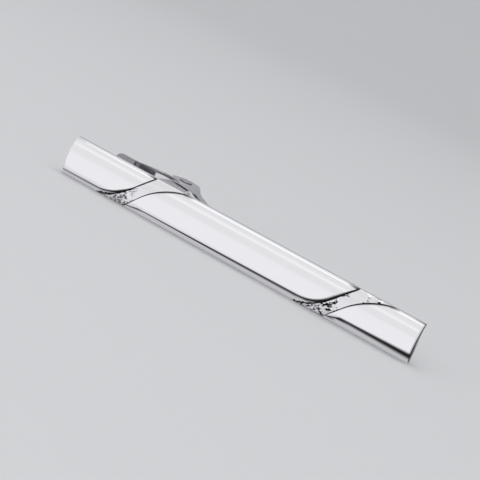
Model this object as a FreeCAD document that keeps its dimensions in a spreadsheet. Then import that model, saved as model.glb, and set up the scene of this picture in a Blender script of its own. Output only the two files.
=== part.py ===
"""A sprung tie clip: a crowned bar with polished panels and rough bands, and a hinged clip on its back.

Millimetres. X runs along the bar, +Y from the bar's flat back towards the clip, +Z up across the bar's
width. The origin is the middle of the bar's back face. The clip is drawn closed, with its jaw on the bar.
"""
import FreeCAD, Part
import Sketcher
import math
import os
import re

# Driving dimensions: name, value, what it is
SIZES = [
    ("bar_length", 60.0, "length of the bar"),
    ("bar_width", 6.0, "width of the bar"),
    ("bar_edge", 0.65, "thickness of the backing strip at its long edges"),
    ("bar_crown", 0.90, "rise of the strip's front from its edges to its middle"),
    ("bar_round", 0.15, "rounding of the strip's back edges"),
    ("panel_thick", 0.45, "thickness of the polished panels under their raised faces"),
    ("panel_inset", 0.08, "how far the panels stop short of the strip's long edges"),
    ("panel_end_inset", 0.06, "how far the panels stop short of the strip's ends"),
    ("face_step", 0.06, "how far the raised faces stand back from their panels' other edges"),
    ("face_round", 0.20, "rounding of the raised faces' edges"),
    ("skirt_thick", 0.25, "thickness of the panels' skirt, a step down along their lower edge"),
    ("skirt_left", 0.65, "width of the skirt at the bar's left end"),
    ("skirt_right", 1.10, "width of the skirt at the bar's right end"),
    ("skirt_start", 0.40, "width of the skirt at a panel's sharp lower corner"),
    ("skirt_slope", 2.20, "length along the bar in which the skirt gains its width"),
    ("inlay_thick", 0.18, "thickness of the rough bands"),
    ("inlay_inset", 0.05, "how far the bands stop short of the strip's long edges"),
    ("solder_film", 0.02, "film of solder between pieces that are sweated together"),
    ("left_band_inset", 13.07, "middle of the left band from the bar's left end"),
    ("right_band_inset", 12.10, "middle of the right band from the bar's right end"),
    ("band_lead", 1.60, "how far a sharp panel corner reaches past its band's middle"),
    ("band_knee_run", 2.45, "length along the bar of a panel end's straight stretch"),
    ("band_blunt_run", 8.50, "length along the bar of a whole panel end"),
    ("face_blunt_run", 7.80, "length along the bar of a raised face's lower end"),
    ("band_knee_share", 0.45, "share of the width that the straight stretch crosses"),
    ("band_gap", 0.08, "gap along the bar between a band and the panels beside it"),
    ("sheet", 0.45, "sheet metal of the lever and the bracket"),
    ("pin_inset", 14.40, "hinge pin from the bar's left end"),
    ("pin_lift", 10.05, "hinge pin above the bar's back"),
    ("pin_radius", 0.60, "radius of the hinge pin"),
    ("pin_head_radius", 1.05, "radius of the pin's riveted heads"),
    ("pin_head_height", 0.20, "height of the pin's riveted heads"),
    ("pin_head_flat_share", 0.6, "share of a head's radius that is flat at its end"),
    ("press_gap", 0.01, "radial gap of the pin in the bracket"),
    ("run_gap", 0.04, "radial gap of the pin in the lever"),
    ("side_gap", 0.10, "gap between the lever's cheeks and the bracket's ears"),
    ("head_gap", 0.05, "gap between the pin's heads and the lever's cheeks"),
    ("lever_width", 5.50, "width of the thumb pad and the hinge"),
    ("ear_radius", 2.30, "radius of the lever's round cheeks"),
    ("pad_tip_inset", 10.40, "end of the thumb pad left of the hinge pin"),
    ("pad_length", 3.60, "length of the thumb pad"),
    ("pad_corner", 1.00, "rounding of the thumb pad's corners"),
    ("pad_lift", 5.40, "thumb pad's inner face above the bar's back"),
    ("step_run", 3.20, "length of the step behind the thumb pad"),
    ("step_rise", 2.50, "height of the step behind the thumb pad"),
    ("slot_inset", 4.10, "start of the lever's open middle left of the hinge pin"),
    ("rail_climb", 0.50, "rise of the rails from the step to the hinge"),
    ("neck_inset", 2.90, "start of the lever's neck from the hinge pin"),
    ("neck_length", 3.80, "length of the neck"),
    ("jaw_width", 3.20, "width of the jaw behind the neck"),
    ("jaw_root_inset", 4.00, "start of the jaw's web from the hinge pin"),
    ("jaw_root_lift", 7.75, "jaw's outer face above the bar's back at its root"),
    ("jaw_root_depth", 1.70, "depth of the jaw's flanges at its root"),
    ("jaw_tip_inset", 31.60, "jaw's tip right of the hinge pin"),
    ("jaw_tip_width", 2.90, "width of the jaw at its tip"),
    ("bite_inset", 22.60, "start of the jaw's toothed stretch right of the hinge pin"),
    ("bite_gap", 0.10, "gap between the closed teeth and the bar's back"),
    ("bite_depth", 1.30, "depth of the jaw over its teeth"),
    ("lip_run", 1.20, "length of the jaw's turned-up lip"),
    ("lip_rise", 0.45, "rise of the jaw's turned-up lip"),
    ("tooth_pitch", 1.00, "distance from tooth to tooth"),
    ("tooth_depth", 0.50, "depth of the notches between the teeth"),
    ("tooth_flat_share", 0.2, "share of the pitch that is a tooth's flat end"),
    ("bracket_left_inset", 4.50, "end of the bracket's foot left of the hinge pin"),
    ("bracket_right_inset", 4.50, "end of the bracket's foot right of the hinge pin"),
    ("ear_left_inset", 2.50, "bracket's ears at the foot, left of the hinge pin"),
    ("ear_right_inset", 3.50, "bracket's ears at the foot, right of the hinge pin"),
    ("boss_radius", 1.60, "round top of the bracket's ears"),
    ("wire", 0.45, "spring wire's diameter"),
    ("coil_radius", 1.15, "spring coil's radius at the middle of the wire"),
    ("coil_side_gap", 0.16, "gap between the spring coil and the bracket's ears"),
    ("leg_gap", 0.10, "gap between the spring's legs and what they bear on"),
    ("foot_leg_inset", 3.20, "end of the spring's fixed leg on the bracket, left of the hinge pin"),
    ("pad_leg_inset", 4.80, "end of the spring's moving leg under the step, left of the hinge pin"),
    ("overrun", 2.00, "how far cutting shapes run past what they cut"),
]
COIL_WHOLE_TURNS = 2
SEGMENTS_PER_TURN = 4
SAMPLES_PER_SEGMENT = 30

doc = FreeCAD.newDocument("tie_clip")
sizes = doc.addObject("Spreadsheet::Sheet", "sizes")
for row, (alias, value, note) in enumerate(SIZES, start=1):
    sizes.set("A%d" % row, note)
    sizes.set("B%d" % row, str(value))
    sizes.setAlias("B%d" % row, alias)
doc.recompute()

# Sketch planes: a body's origin plane, and the same plane for a sketch outside a body
SIDE_VIEW = ("XY_Plane", FreeCAD.Rotation())
PLAN_VIEW = ("XZ_Plane", FreeCAD.Rotation(FreeCAD.Vector(1, 0, 0), 90))
SECTION_VIEW = ("YZ_Plane", FreeCAD.Rotation(FreeCAD.Vector(1, 1, 1), 120))

# Places that several pieces share, as expressions in the driving dimensions
LEFT = "-bar_length / 2"
RIGHT = "bar_length / 2"
PIN_X = LEFT + " + pin_inset"
BRACKET_WIDTH = "lever_width - 2 * sheet - 2 * side_gap"
STEP_CORNER = "sheet * tan(atan(step_rise / step_run) / 2)"
CROWN_RADIUS = "((bar_width / 2) ^ 2 + bar_crown ^ 2) / (2 * bar_crown)"
CROWN_CENTRE_Y = "%s - bar_edge - bar_crown" % CROWN_RADIUS


def bind(text):
    """Point the names in an expression at the sheet's cells; a name before a bracket is a function."""
    return re.sub(r"\b[a-z][a-z0-9_]*\b(?!\s*\()", r"sizes.\g<0>", text)


def number(text):
    """The value of an expression in the driving dimensions."""
    return float(sizes.evalExpression(bind(text)))


def drive(item, prop, text):
    item.setExpression(prop, bind(text))


def constrain(sketch, kind, refs, text):
    """Add a dimension to a sketch and tie it to the driving dimensions."""
    index = sketch.addConstraint(Sketcher.Constraint(kind, *refs, number(text)))
    drive(sketch, "Constraints[%d]" % index, text)


def new_sketch(name, view, body=None):
    """A sketch on one of the views' planes, inside a body or by itself."""
    role, turn = view
    if body is None:
        sketch = doc.addObject("Sketcher::SketchObject", name)
        sketch.Placement = FreeCAD.Placement(FreeCAD.Vector(), turn)
        return sketch
    plane = [item for item in body.Origin.OriginFeatures if item.Role == role][0]
    sketch = body.newObject("Sketcher::SketchObject", name)
    sketch.AttachmentSupport = [(plane, "")]
    sketch.MapMode = "FlatFace"
    return sketch


def arc_middle(start, end, along):
    """Middle point of the arc from start to end that is tangent to the direction along at its end."""
    chord = end - start
    unit = along.normalize()
    cosine = (chord * unit) / chord.Length
    corner = end - unit * (chord.Length / (2 * cosine))
    middle = (start + end) * 0.5
    return middle + (corner - middle) * (cosine / (1 + cosine))


def outline(sketch, points, bends=None):
    """Add a closed loop through points given as pairs of expressions.

    bends maps an edge's number to 1 or -1: that edge is an arc, tangent to the next or the last edge.
    """
    bends = bends or {}
    count = len(points)
    first = sketch.GeometryCount
    spots = [FreeCAD.Vector(number(x), number(y), 0) for x, y in points]
    for edge in range(count):
        start, end = spots[edge], spots[(edge + 1) % count]
        if edge not in bends:
            sketch.addGeometry(Part.LineSegment(start, end))
            continue
        if bends[edge] > 0:
            middle = arc_middle(start, end, spots[(edge + 2) % count] - end)
        else:
            middle = arc_middle(end, start, spots[edge - 1] - start)
        sketch.addGeometry(Part.Arc(start, middle, end))
    # A sketch keeps every arc anticlockwise, so an arc drawn the other way has its two ends swapped
    ends = [(1, 2)] * count
    for edge in bends:
        here = sketch.getPoint(first + edge, 1)
        if here.distanceToPoint(spots[edge]) > here.distanceToPoint(spots[(edge + 1) % count]):
            ends[edge] = (2, 1)
    for edge in range(count):
        follower = (edge + 1) % count
        kind = "Coincident"
        if bends.get(edge) == 1 or bends.get(follower) == -1:
            kind = "Tangent"
        refs = (first + edge, ends[edge][1], first + follower, ends[follower][0])
        sketch.addConstraint(Sketcher.Constraint(kind, *refs))
    for edge, (x, y) in enumerate(points):
        refs = (-1, 1, first + edge, ends[edge][0])
        constrain(sketch, "DistanceX", refs, x)
        constrain(sketch, "DistanceY", refs, y)


def extrude(name, sketch, length):
    """A solid on both sides of a sketch's plane."""
    item = doc.addObject("Part::Extrusion", name)
    item.Base = sketch
    item.DirMode = "Normal"
    item.Solid = True
    item.Symmetric = True
    drive(item, "LengthFwd", length)
    return item


def cylinder(name, radius, height, x=PIN_X, y="pin_lift"):
    """A round bar along Z, centred on the bar's middle plane."""
    item = doc.addObject("Part::Cylinder", name)
    drive(item, "Radius", radius)
    drive(item, "Height", height)
    drive(item, "Placement.Base.x", x)
    drive(item, "Placement.Base.y", y)
    drive(item, "Placement.Base.z", "-(%s) / 2" % height)
    return item


def combine(kind, name, shapes):
    item = doc.addObject("Part::" + kind, name)
    item.Shapes = shapes
    return item


def cut(name, base, tool):
    item = doc.addObject("Part::Cut", name)
    item.Base = base
    item.Tool = tool
    return item


def backing_strip():
    """The bar itself: flat behind, crowned in front, with its back edges eased."""
    body = doc.addObject("PartDesign::Body", "base_bar")
    sketch = new_sketch("bar_section", SECTION_VIEW, body)
    half = "bar_width / 2"
    corners = [("-bar_edge", "-(%s)" % half), ("0", "-(%s)" % half), ("0", half), ("-bar_edge", half)]
    spots = [FreeCAD.Vector(number(y), number(z), 0) for y, z in corners]
    for start, end in zip(spots, spots[1:]):
        sketch.addGeometry(Part.LineSegment(start, end))
    crest = FreeCAD.Vector(-number("bar_edge + bar_crown"), 0, 0)
    front = sketch.addGeometry(Part.Arc(spots[3], crest, spots[0]))
    sketch.addConstraint(Sketcher.Constraint("Coincident", 0, 2, 1, 1))
    sketch.addConstraint(Sketcher.Constraint("Coincident", 1, 2, 2, 1))
    sketch.addConstraint(Sketcher.Constraint("Coincident", 2, 2, front, 1))
    sketch.addConstraint(Sketcher.Constraint("Coincident", front, 2, 0, 1))
    for line, (y, z) in enumerate(corners[:3]):
        constrain(sketch, "DistanceX", (-1, 1, line, 1), y)
        constrain(sketch, "DistanceY", (-1, 1, line, 1), z)
    constrain(sketch, "DistanceX", (-1, 1, 2, 2), corners[3][0])
    constrain(sketch, "DistanceY", (-1, 1, 2, 2), corners[3][1])
    constrain(sketch, "Radius", (front,), CROWN_RADIUS)
    pad = body.newObject("PartDesign::Pad", "bar_length_pad")
    pad.Profile = sketch
    pad.SideType = "Symmetric"
    drive(pad, "Length", "bar_length")
    doc.recompute()
    back = [face for face in pad.Shape.Faces if abs(face.CenterOfMass.y) < number("solder_film")][0]
    names = ["Edge%d" % (i + 1) for i, edge in enumerate(pad.Shape.Edges)
             if any(edge.isSame(other) for other in back.Edges)]
    ease = body.newObject("PartDesign::Fillet", "bar_back_round")
    ease.Base = (pad, names)
    drive(ease, "Radius", "bar_round")


def crowned_strip(name, thick, inset, end_inset):
    """A strip of even thickness that follows the bar's crown, short of its long edges and its ends."""
    sketch = new_sketch(name + "_section", SECTION_VIEW)
    inner = "%s + solder_film" % CROWN_RADIUS
    half = number("bar_width / 2 - %s" % inset)
    centre = number(CROWN_CENTRE_Y)
    for radius in (inner, inner + " + " + thick):
        reach = math.sqrt(number(radius) ** 2 - half ** 2)
        start = FreeCAD.Vector(centre - reach, half, 0)
        end = FreeCAD.Vector(centre - reach, -half, 0)
        sketch.addGeometry(Part.Arc(start, FreeCAD.Vector(centre - number(radius), 0, 0), end))
    for end in (1, 2):
        sketch.addGeometry(Part.LineSegment(sketch.getPoint(0, end), sketch.getPoint(1, end)))
        sketch.addConstraint(Sketcher.Constraint("Coincident", 0, end, end + 1, 1))
        sketch.addConstraint(Sketcher.Constraint("Coincident", 1, end, end + 1, 2))
    constrain(sketch, "DistanceX", (-1, 1, 0, 3), CROWN_CENTRE_Y)
    constrain(sketch, "DistanceY", (-1, 1, 0, 3), "0")
    sketch.addConstraint(Sketcher.Constraint("Coincident", 0, 3, 1, 3))
    constrain(sketch, "Radius", (0,), inner)
    constrain(sketch, "Radius", (1,), inner + " + " + thick)
    for arc in (0, 1):
        for end in (1, 2):
            sign = "" if sketch.getPoint(arc, end).y > 0 else "-"
            constrain(sketch, "DistanceY", (-1, 1, arc, end), "%s(bar_width / 2 - %s)" % (sign, inset))
    return extrude(name, sketch, "bar_length - 2 * %s" % end_inset)


def panel_end(band, side, gap="0"):
    """Sharp corner, knee and blunt corner of the panel end on one side of a band, moved by gap into it.

    side is -1 for the panel on the band's left, whose sharp corner is at the top, and 1 for the other.
    """
    into, back, up, down = ("-", "+", "-", "") if side > 0 else ("+", "-", "", "-")
    sharp_x = "%s %s band_lead %s (%s)" % (band, into, into, gap)
    sharp = (sharp_x, "%s(bar_width / 2)" % up)
    knee = ("%s %s band_knee_run" % (sharp_x, back), "%s(bar_width / 2 - bar_width * band_knee_share)" % up)
    blunt = ("%s %s band_blunt_run" % (sharp_x, back), "%s(bar_width / 2)" % down)
    return sharp, knee, blunt


def fillet_front(name, base, radius_text):
    """Round the edges of a crowned piece's front face."""
    doc.recompute()
    rounds = [face for face in base.Shape.Faces if isinstance(face.Surface, Part.Cylinder)]
    along = [face for face in rounds if abs(face.Surface.Axis.x) > abs(face.Surface.Axis.y)]
    front = max(along, key=lambda face: face.Surface.Radius)
    radius = number(radius_text)
    item = doc.addObject("Part::Fillet", name)
    item.Base = base
    item.Edges = [(i + 1, radius, radius) for i, edge in enumerate(base.Shape.Edges)
                  if any(edge.isSame(other) for other in front.Edges)]
    return item


def crowned_piece(name, thick, inset, end_inset, points, bends):
    """A piece of even thickness on the bar's crown, with an outline along and across the bar."""
    strip = crowned_strip(name + "_strip", thick, inset, end_inset)
    plan = new_sketch(name + "_plan", PLAN_VIEW)
    outline(plan, points, bends)
    block = extrude(name + "_block", plan, "2 * (bar_width + overrun)")
    return combine("MultiCommon", name, [strip, block])


def face_foot(x):
    """Height of a raised face's lower edge at a place along the bar."""
    widening = "(skirt_right - skirt_left) * ((%s) - (%s)) / bar_length" % (x, LEFT)
    return "-(bar_width / 2 - skirt_left - %s)" % widening


def face_blunt(end):
    """Lower corner of a raised face, above the blunt corner of its panel's end."""
    x = "%s - face_blunt_run" % end[0][0]
    return x, face_foot(x)


def face_start(end):
    """Sharp lower corner of a raised face, and the point where its skirt has gained its width."""
    start = "%s + band_knee_run * skirt_start / (bar_width * band_knee_share)" % end[0][0]
    gained = start + " + skirt_slope"
    return [(start, "-(bar_width / 2 - skirt_start)"), (gained, face_foot(gained))]


def panels_and_bands():
    """Three polished panels on the bar, and the two rough bands that fill the gaps between them."""
    half = "bar_width / 2"
    low = "-(%s)" % half
    bands = {"left": LEFT + " + left_band_inset", "right": RIGHT + " - right_band_inset"}
    left, right = ({side: panel_end(bands[end], side) for side in (-1, 1)} for end in ("left", "right"))
    skirts = {
        "left_panel": ([(LEFT, low), left[-1][2], left[-1][1], left[-1][0], (LEFT, half)], {1: 1}),
        "middle_panel": ([left[1][0], right[-1][2], right[-1][1], right[-1][0], left[1][2], left[1][1]],
                         {1: 1, 4: 1}),
        "right_panel": ([right[1][0], (RIGHT, low), (RIGHT, half), right[1][2], right[1][1]], {3: 1}),
    }
    left, right = ({side: panel_end(bands[end], side, "-face_step") for side in (-1, 1)}
                   for end in ("left", "right"))
    faces = {
        "left_panel": ([(LEFT, face_foot(LEFT)), face_blunt(left[-1]), left[-1][1], left[-1][0],
                        (LEFT, half)], {1: 1}),
        "middle_panel": ([*face_start(left[1]), face_blunt(right[-1]), right[-1][1], right[-1][0],
                          left[1][2], left[1][1]], {2: 1, 5: 1}),
        "right_panel": ([*face_start(right[1]), (RIGHT, face_foot(RIGHT)), (RIGHT, half),
                         right[1][2], right[1][1]], {4: 1}),
    }
    for name in skirts:
        skirt = crowned_piece(name + "_skirt", "skirt_thick", "panel_inset", "panel_end_inset",
                              *skirts[name])
        square = crowned_piece(name + "_square", "panel_thick", "(panel_inset + face_step)",
                               "(panel_end_inset + face_step)", *faces[name])
        combine("MultiFuse", name, [skirt, fillet_front(name + "_face", square, "face_round")])
    for side, band in bands.items():
        before = panel_end(band, -1, "band_gap")
        after = panel_end(band, 1, "band_gap")
        points = [after[0], after[1], after[2], before[0], before[1], before[2]]
        crowned_piece(side + "_inlay", "inlay_thick", "inlay_inset", "inlay_inset", points, {1: -1, 4: -1})


def bracket():
    """The sheet-metal foot on the bar's back, with the two ears that hold the hinge pin."""
    body = doc.addObject("PartDesign::Body", "clip_bracket")
    foot_top = "solder_film + sheet"
    left, right = PIN_X + " - bracket_left_inset", PIN_X + " + bracket_right_inset"
    side = new_sketch("bracket_side", SIDE_VIEW, body)
    outline(side, [
        (left, "solder_film"),
        (right, "solder_film"),
        (right, foot_top),
        (PIN_X + " + ear_right_inset", foot_top),
        (PIN_X + " + boss_radius", "pin_lift"),
        (PIN_X + " - boss_radius", "pin_lift"),
        (PIN_X + " - ear_left_inset", foot_top),
        (left, foot_top),
    ])
    top = new_sketch("bracket_boss", SIDE_VIEW, body)
    top.addGeometry(Part.Circle(FreeCAD.Vector(number(PIN_X), number("pin_lift"), 0),
                                FreeCAD.Vector(0, 0, 1), number("boss_radius")))
    hole = new_sketch("bracket_hole", SIDE_VIEW, body)
    hole.addGeometry(Part.Circle(FreeCAD.Vector(number(PIN_X), number("pin_lift"), 0),
                                 FreeCAD.Vector(0, 0, 1), number("pin_radius + press_gap")))
    for sketch, radius in ((top, "boss_radius"), (hole, "pin_radius + press_gap")):
        constrain(sketch, "DistanceX", (-1, 1, 0, 3), PIN_X)
        constrain(sketch, "DistanceY", (-1, 1, 0, 3), "pin_lift")
        constrain(sketch, "Radius", (0,), radius)
    channel = new_sketch("bracket_channel", SECTION_VIEW, body)
    inside = "(%s) / 2 - sheet" % BRACKET_WIDTH
    high = "pin_lift + boss_radius + overrun"
    outline(channel, [(foot_top, "-(%s)" % inside), (high, "-(%s)" % inside), (high, inside),
                      (foot_top, inside)])
    for name, sketch, kind in (("bracket_pad", side, "Pad"), ("boss_pad", top, "Pad"),
                               ("channel_pocket", channel, "Pocket"), ("pin_pocket", hole, "Pocket")):
        feature = body.newObject("PartDesign::" + kind, name)
        feature.Profile = sketch
        feature.SideType = "Symmetric"
        drive(feature, "Length", BRACKET_WIDTH if kind == "Pad" else "bar_length + overrun")
        before = 0 if body.Shape.isNull() else body.Shape.Volume
        doc.recompute()
        assert body.Shape.Volume != before, name + " changed nothing"


def lever():
    """The stamped lever: thumb pad, step, open rails, round cheeks on the pin and a toothed channel jaw."""
    half = "lever_width / 2"
    pad_tip, pad_root = PIN_X + " - pad_tip_inset", PIN_X + " - pad_tip_inset + pad_length"
    pad_out, rail_out = "pad_lift + sheet", "pad_lift + sheet + step_rise"
    root_x, tip_x = PIN_X + " + jaw_root_inset", PIN_X + " + jaw_tip_inset"
    bite_x, bite_top = PIN_X + " + bite_inset", "bite_gap + bite_depth"
    reach = "sqrt(jaw_root_inset ^ 2 + (pin_lift - jaw_root_lift) ^ 2)"
    lean = "acos(ear_radius / %s) - atan((pin_lift - jaw_root_lift) / jaw_root_inset)" % reach

    side = new_sketch("lever_side", SIDE_VIEW)
    outline(side, [
        (pad_tip, "pad_lift"),
        ("%s + %s" % (pad_root, STEP_CORNER), "pad_lift"),
        ("%s + step_run + %s" % (pad_root, STEP_CORNER), rail_out + " - sheet"),
        (PIN_X, "pin_lift - ear_radius"),
        (root_x, "jaw_root_lift - jaw_root_depth"),
        (bite_x, "bite_gap"),
        (tip_x + " - lip_run", "bite_gap"),
        (tip_x, "bite_gap + lip_rise"),
        (tip_x, bite_top + " + lip_rise - sheet / 2"),
        (tip_x + " - lip_run", bite_top),
        (bite_x, bite_top),
        (root_x, "jaw_root_lift"),
        ("%s + ear_radius * cos(%s)" % (PIN_X, lean), "pin_lift + ear_radius * sin(%s)" % lean),
        (PIN_X, rail_out + " + rail_climb"),
        (pad_root + " + step_run", rail_out),
        (pad_root, pad_out),
        (pad_tip, pad_out),
    ])
    blank = combine("MultiFuse", "lever_blank", [extrude("lever_side_block", side, "lever_width"),
                                                 cylinder("lever_cheeks", "ear_radius", "lever_width")])

    plan = new_sketch("lever_plan", PLAN_VIEW)
    neck, neck_end = PIN_X + " + neck_inset", PIN_X + " + neck_inset + neck_length"
    bank = [(pad_tip, half + " - pad_corner"), (pad_tip + " + pad_corner", half), (neck, half),
            (neck_end, "jaw_width / 2"), (tip_x, "jaw_tip_width / 2")]
    outline(plan, [(x, "-(%s)" % z) for x, z in bank] + bank[::-1], {0: 1, 8: -1})
    tall = "2 * (pin_lift + ear_radius + overrun)"
    outer = combine("MultiCommon", "lever_outer", [blank, extrude("lever_plan_block", plan, tall)])

    inside = new_sketch("lever_inside_side", SIDE_VIEW)
    slot, jaw_end, high = PIN_X + " - slot_inset", tip_x + " - lip_run", "pin_lift + ear_radius + overrun"
    outline(inside, [(slot, "-overrun"), (jaw_end, "-overrun"), (jaw_end, bite_top + " - sheet"),
                     (bite_x, bite_top + " - sheet"), (root_x, "jaw_root_lift - sheet"), (root_x, high),
                     (slot, high)])
    inside_plan = new_sketch("lever_inside_plan", PLAN_VIEW)
    bank = [(slot, half + " - sheet"), (neck, half + " - sheet"), (neck_end, "jaw_width / 2 - sheet"),
            (jaw_end, "jaw_tip_width / 2 - sheet")]
    outline(inside_plan, [(x, "-(%s)" % z) for x, z in bank] + bank[::-1])
    hollow = combine("MultiCommon", "lever_hollow", [extrude("lever_inside", inside, "lever_width"),
                                                     extrude("lever_inside_block", inside_plan, tall)])

    notches = new_sketch("jaw_notches", SIDE_VIEW)
    count = int(number("(jaw_tip_inset - lip_run - bite_inset) / tooth_pitch"))
    for tooth in range(count):
        middle = "%s + tooth_pitch * (%d + 1 / 2)" % (bite_x, tooth)
        spread = "tooth_pitch * (1 - tooth_flat_share) / 2 * (tooth_depth + bite_gap / 2) / tooth_depth"
        outline(notches, [("%s - %s" % (middle, spread), "bite_gap / 2"),
                          ("%s + %s" % (middle, spread), "bite_gap / 2"),
                          (middle, "bite_gap + tooth_depth")])
    tools = combine("MultiFuse", "lever_cuts", [
        hollow,
        cylinder("lever_pin_hole", "pin_radius + run_gap", "lever_width + overrun"),
        extrude("jaw_notch_block", notches, "lever_width"),
    ])
    cut("clip_lever", outer, tools)


def hinge_pin():
    """The pin through the lever's cheeks and the bracket's ears, riveted over at both ends."""
    body = doc.addObject("PartDesign::Body", "hinge_pin")
    sketch = new_sketch("pin_profile", PLAN_VIEW, body)
    shoulder = "lever_width / 2 + head_gap"
    half = shoulder + " + pin_head_height"
    bank = [("pin_head_radius * pin_head_flat_share", half),
            ("pin_head_radius", "(%s + %s) / 2" % (half, shoulder)),
            ("pin_head_radius", shoulder), ("pin_radius", shoulder)]
    mirrored = [(r, "-(%s)" % z) for r, z in bank]
    outline(sketch, [("0", "-(%s)" % half)] + mirrored + bank[::-1] + [("0", half)])
    turn = body.newObject("PartDesign::Revolution", "pin_turned")
    turn.Profile = sketch
    turn.ReferenceAxis = (sketch, ["V_Axis"])
    turn.Angle = 360
    drive(body, "Placement.Base.x", PIN_X)
    drive(body, "Placement.Base.y", "pin_lift")


def biarc(start, start_along, end, end_along):
    """Two arcs that join two points with a given direction at each."""
    span = end - start
    total = start_along + end_along
    spread = 2 * (1 - start_along * end_along)
    lean = span * total
    reach = (math.sqrt(lean ** 2 + spread * (span * span)) - lean) / spread
    knot = (start + end + (start_along - end_along) * reach) * 0.5
    arcs = []
    for first, along, last in ((start, start_along, knot), (end, end_along * -1, knot)):
        chord = last - first
        middle = (first + last) * 0.5
        cosine = (chord * along) / chord.Length
        corner = first + along * reach
        arcs.append(Part.Arc(first, middle + (corner - middle) * (cosine / (1 + cosine)), last))
    return [arcs[0].toShape(), arcs[1].toShape()]


def touch_angle(target, centre, radius, side):
    """Angle on a circle where a straight line from target touches it, on one side."""
    away = target - centre
    return math.atan2(away.y, away.x) + side * math.acos(radius / away.Length)


def torsion_spring():
    """One wire: a leg from the bracket's foot, the coil round the pin, and a leg under the lever's step."""
    wire, radius = number("wire"), number("coil_radius")
    centre = FreeCAD.Vector(number(PIN_X), number("pin_lift"), 0)
    over_foot = number("solder_film + sheet + leg_gap + wire / 2")
    slope = "(pad_tip_inset - pad_length - pad_leg_inset - %s) / step_run" % STEP_CORNER
    under_rail = number("pad_lift + step_rise * %s - leg_gap - wire" % slope)
    foot = FreeCAD.Vector(number(PIN_X + " - foot_leg_inset"), over_foot, 0)
    lift = FreeCAD.Vector(number(PIN_X + " - pad_leg_inset"), under_rail, 0)
    first = touch_angle(foot, centre, radius, -1)
    last = touch_angle(lift, centre, radius, 1)
    swept = (first - last) % (2 * math.pi) + 2 * math.pi * COIL_WHOLE_TURNS
    half = number("(%s) / 2 - sheet - coil_side_gap - wire / 2" % BRACKET_WIDTH)
    pitch = 2 * half / (swept / (2 * math.pi))
    count = math.ceil(swept / (2 * math.pi) * SEGMENTS_PER_TURN)

    def spot(share):
        angle = first - swept * share
        outward = FreeCAD.Vector(math.cos(angle), math.sin(angle), 0)
        return centre + outward * radius + FreeCAD.Vector(0, 0, half * (2 * share - 1))

    def along(share):
        angle = first - swept * share
        climb = pitch / (2 * math.pi) if 0 < share < 1 else 0
        return FreeCAD.Vector(radius * math.sin(angle), -radius * math.cos(angle), climb).normalize()

    level = FreeCAD.Vector(0, 0, half)
    edges = [Part.LineSegment(foot - level, spot(0)).toShape()]
    for piece in range(count):
        edges += biarc(spot(piece / count), along(piece / count),
                       spot((piece + 1) / count), along((piece + 1) / count))
    edges.append(Part.LineSegment(spot(1), lift + level).toShape())
    path = Part.Wire(Part.__sortEdges__(edges))
    start = (spot(0) - (foot - level)).normalize()
    ring = Part.Wire(Part.Circle(foot - level, start, wire / 2).toShape())
    solid = path.makePipeShell([ring], True, False)
    item = doc.addObject("Part::Feature", "torsion_spring")
    item.Shape = solid

    dense = path.discretize(Number=SAMPLES_PER_SEGMENT * count)
    travel = path.Length / len(dense)
    apart = int(math.ceil(math.pi * radius / travel))
    gap = min(a.distanceToPoint(b) for i, a in enumerate(dense) for b in dense[i + apart:]) - wire
    print("spring: %.2f turns, least gap to itself %.2f mm, wire length %.1f mm, volume share %.4f" % (
        swept / (2 * math.pi), gap, path.Length,
        solid.Volume / (path.Length * math.pi * wire ** 2 / 4)))


backing_strip()
panels_and_bands()
bracket()
lever()
hinge_pin()
torsion_spring()
doc.recompute()

PIECES = ["base_bar", "left_panel", "middle_panel", "right_panel", "left_inlay", "right_inlay",
          "clip_bracket", "clip_lever", "hinge_pin", "torsion_spring"]
broken = [item.Name for item in doc.Objects if "Invalid" in item.State or "Error" in item.State]
assert not broken, "failed objects: %s" % broken
os.makedirs("parts", exist_ok=True)
for name in PIECES:
    piece = doc.getObject(name)
    shape = piece.Shape
    assert not shape.isNull() and shape.isValid(), name + " has no valid shape"
    assert len(shape.Solids) == 1, "%s has %d solids" % (name, len(shape.Solids))
    piece.Label = name
    box = shape.BoundBox
    print("%-15s %8.3f mm3  x %.2f..%.2f  y %.2f..%.2f  z %.2f..%.2f" % (
        name, shape.Volume, box.XMin, box.XMax, box.YMin, box.YMax, box.ZMin, box.ZMax))
    shape.exportStep("parts/%s.step" % piece.Label)
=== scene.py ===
import math

import bmesh
import bpy
from bpy.props import FloatProperty, FloatVectorProperty, PointerProperty
from mathutils import Matrix, Vector, noise


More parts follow.
